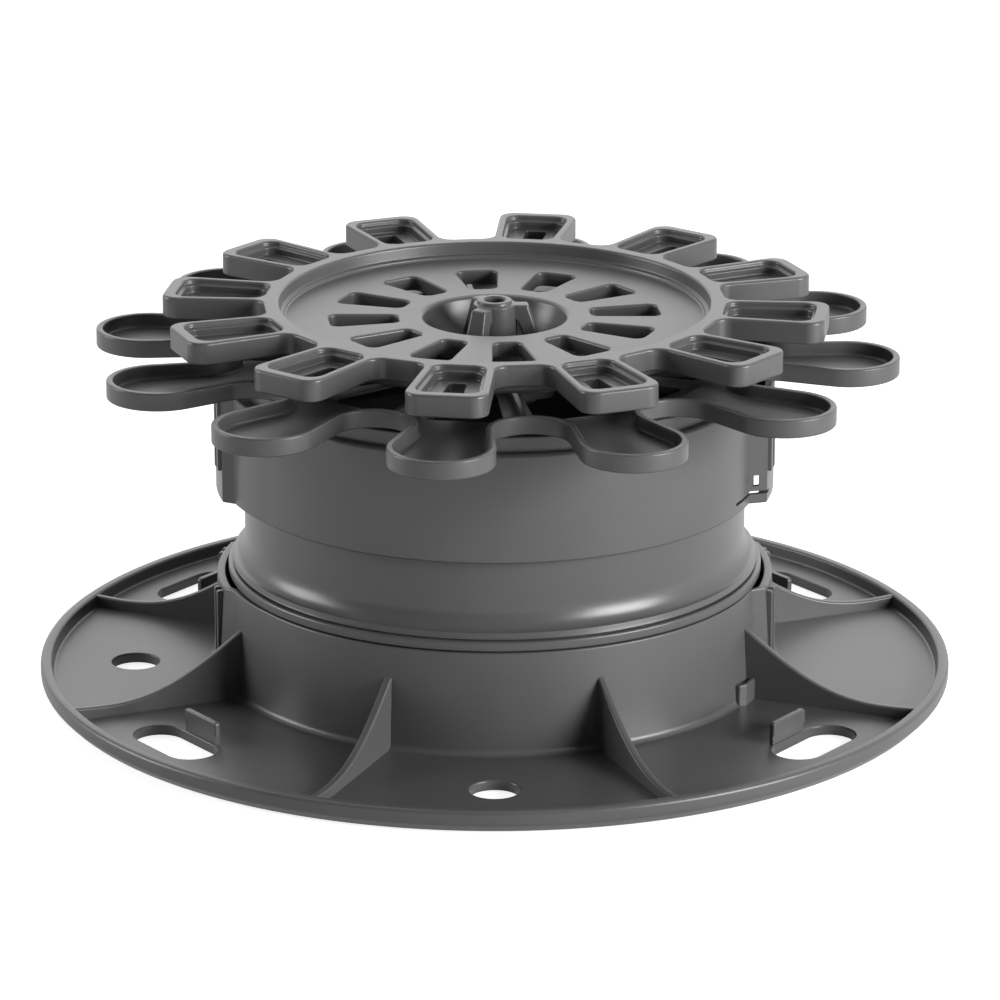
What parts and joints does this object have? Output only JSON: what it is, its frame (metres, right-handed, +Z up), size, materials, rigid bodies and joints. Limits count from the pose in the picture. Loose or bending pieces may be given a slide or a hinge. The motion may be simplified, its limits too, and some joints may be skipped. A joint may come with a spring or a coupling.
{
  "type": "adjustable decking pedestal",
  "caption": "Height-adjustable decking pedestal: round ribbed foot, turning threaded ring, lifting head with a lobed support plate, and a self-levelling finger plate.",
  "frame": {"origin": "on the pedestal's axis, on the surface that the foot stands on", "axes": "+Z up along the pedestal's axis; -Y is the side with a fixing hole that faces the viewer in the picture; +X is to that viewer's right"},
  "size_m": [0.2, 0.2, 0.0853],
  "materials": {
    "foot_plastic": "anthracite moulded polypropylene, matte",
    "ring_plastic": "anthracite moulded polypropylene, satin",
    "head_plastic": "anthracite moulded polypropylene, satin",
    "support_plastic": "anthracite moulded polypropylene, matte",
    "top_plastic": "anthracite moulded polypropylene, matte"
  },
  "bodies": {
    "foot": {"base_foot": "foot_plastic"},
    "ring": {"adjusting_ring": "ring_plastic"},
    "head": {"lifting_head": "head_plastic", "support_plate": "support_plastic"},
    "top": {"levelling_plate": "top_plastic"}
  },
  "joints": [
    {"name": "ring_turn", "type": "hinge", "parent": "foot", "child": "ring", "pos_m": [0, 0, 0.025], "axis": [0, 0, 1], "range_deg": [-1872, 972]},
    {"name": "head_lift", "type": "slide", "parent": "foot", "child": "head", "axis": [0, 0, 1], "range_m": [-0.01351, 0.02601]},
    {"name": "top_tilt", "type": "hinge", "parent": "head", "child": "top", "pos_m": [0, 0, 0.0853], "axis": [1, 0, 0], "range_deg": [-3.2, 3.2]}
  ],
  "couplings": [
    {"joint": "head_lift", "follows": "ring_turn", "m_per_rad": -0.00079577}
  ]
}
